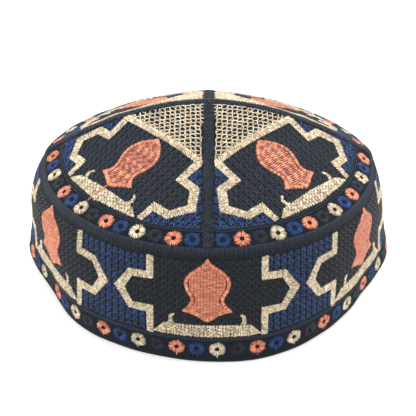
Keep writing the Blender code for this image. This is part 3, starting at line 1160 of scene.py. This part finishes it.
# %% A ring
RING_OUTER, RING_STITCHES, RING_SLANT = 3.95, 24, 0.25
RING_STRAY, RAY_STRAY = 0.22, 0.012
RING_WIDTHS = (0.35, 0.68, 0.84, 0.1)  # as shares, from the middle outwards
RING_STYLES = {  # radius of the hole, rise of the thread, and its tones
    "cream": (1.1, 0.5, (0, 1)),
    "coral": (1.1, 0.5, (0, 1)),
    "navy": (1.3, 0.5, (0.3, 1)),
    "black": (1.1, 0.35, (0, 1)),
}


def ring(surface, centre, squeeze, colour):
    """One ring. squeeze shortens the second direction where the pattern is seen from above."""
    hole, rise, tones = RING_STYLES[colour]
    angle = np.linspace(0, 2 * math.pi, RING_STITCHES, endpoint=False)
    angle = angle + rng.normal(0, RAY_STRAY, RING_STITCHES)
    ray = np.stack([np.cos(angle), np.sin(angle) * squeeze], axis=-1)
    slant = np.stack([-np.sin(angle), np.cos(angle) * squeeze], axis=-1) * RING_SLANT
    reach = RING_OUTER + rng.normal(0, RING_STRAY, (RING_STITCHES, 1))
    paths = straight(centre + ray * hole - slant, centre + ray * reach + slant, shoulder=0.3)
    return stitches(surface, paths, 0.72, rise, base=0.2, widths=RING_WIDTHS, tones=tones)


# %% Rings round the crown
CROWN_RING_RADIUS, CROWN_RINGS_A_GORE, FIRST_RING, RING_STEP = 81.2, 14, 4.7, 6.03
CROWN_ORDER = ("navy", "coral", "black", "cream")
rings = {"cream": [], "coral": [], "navy": [], "black": []}


def crown_polar(across, along):
    """The crown by (mm round, mm from the centre in plan), so that a ring lies along the rim."""

    def point(place):
        angle = place[..., 0] / CROWN_RING_RADIUS
        x = across * place[..., 1] * np.sin(angle)
        y = along * place[..., 1] * np.cos(angle)
        return crown(np.stack([x, y], axis=-1))

    return point


for signs in GORES.values():
    surface = crown_polar(*signs)
    for k in range(CROWN_RINGS_A_GORE):
        angle = math.radians(FIRST_RING + RING_STEP * k)
        middle = np.array([angle * CROWN_RING_RADIUS, CROWN_RING_RADIUS])
        inside, outside = surface(middle - [0, 1]), surface(middle + [0, 1])
        squeeze = 2 / np.linalg.norm(outside - inside)
        colour = CROWN_ORDER[k % len(CROWN_ORDER)]
        rings[colour].append(ring(surface, middle, squeeze, colour))
print("Rings round the crown:", sum(len(batches) for batches in rings.values()))

# %% Rings round the hem
# The last stitch of each ring runs down a little, as the machine goes on to the next one.
HEM_RINGS, HEM_RING_HEIGHT = 60, 8.4
TAIL_START, TAIL_END_LEAST, TAIL_END_MOST = 3.4, 4.3, 5.3  # below the ring's middle
HEM_ORDER = ("cream", "black", "coral", "navy")

for n in range(HEM_RINGS):
    middle = np.array([(n + 0.5) * BAND_LENGTH / HEM_RINGS, HEM_RING_HEIGHT])
    colour = HEM_ORDER[n % len(HEM_ORDER)]
    rings[colour].append(ring(band, middle, 1.0, colour))
    tail_end = [[rng.normal(0, 0.3), -rng.uniform(TAIL_END_LEAST, TAIL_END_MOST)]]
    tail = straight(middle + [[0, -TAIL_START]], middle + tail_end)
    rings[colour].append(stitches(band, tail, width=0.45, height=0.4, base=0.15))

THREADS = {"cream": CREAM, "coral": CORAL, "navy": NAVY, "black": BLACK}
for colour, batches in rings.items():
    sew(f"rings_{colour}", batches, THREADS[colour])

# %% [markdown]
# ## Cords and loose ends
# A thin black cord is couched along the foot of the pattern, on the crown and on the band. It is
# two threads side by side. A curve could be swept for each, but a row of stitches that overlap
# also shows where the thread is held down.

# %% Cord
CORD_STEP, CORD_STITCH, CORD_SLANT = 1.5, 2.2, 0.24
CORD_THREADS = (-0.5, 0.5)  # beside the cord's middle line
BAND_CORD_HEIGHT = 14.1


def cord_batch(surface, start, end, level):
    """A cord along a surface's first direction, at one level of the second."""
    middle = np.tile(np.arange(start, end, CORD_STEP), len(CORD_THREADS))
    beside = level + np.repeat(CORD_THREADS, len(middle) // len(CORD_THREADS))
    starts = np.stack([middle - CORD_STITCH / 2, beside - CORD_SLANT / 2], axis=-1)
    ends = np.stack([middle + CORD_STITCH / 2, beside + CORD_SLANT / 2], axis=-1)
    return stitches(surface, straight(starts, ends), 0.46, 0.5, base=0.15, tones=(0.7, 1))


cords = [cord_batch(band, 0, BAND_LENGTH, BAND_CORD_HEIGHT)]
cord_angle = math.asin(inset / CORD_RADIUS)
cord_start = cord_angle * CROWN_RING_RADIUS + 1
cord_end = (math.pi / 2 - cord_angle) * CROWN_RING_RADIUS - 1
for signs in GORES.values():
    cords.append(cord_batch(crown_polar(*signs), cord_start, cord_end, CORD_RADIUS))
sew("cords", cords, BLACK)

# %% Carried thread
# Where the machine steps from one motif to the next, it leaves a thread that is trimmed later. One
# was left, across the bar of the front left gore.
CARRIED = np.array([[(0.9, 65.9), (1.6, 69.5), (2.4, 73.5), (3.0, 77.2)]])

front_left = gore(*GORES["front_left"])
carried = stitches(front_left, CARRIED, width=0.5, height=0.45, base=0.75, tones=(0.3, 0.4))
sew("carried_thread", [carried], CORAL)

# %% Trimmed ends
# Two short navy ends lie at each side of the front strip, beside the first rings.
TRIMMED_START, TRIMMED_LENGTH, TRIMMED_LEAN = -77.6, -1.7, 0.5

trimmed = []
for side in (-1, 1):
    for off_strip in (3.7, 5.8):
        start = np.array([[off_strip * side, TRIMMED_START]])
        path = straight(start, start + [[TRIMMED_LEAN * side, TRIMMED_LENGTH]])
        trimmed.append(stitches(crown, path, width=0.4, height=0.3, base=0.3))
sew("trimmed_ends", trimmed, NAVY)
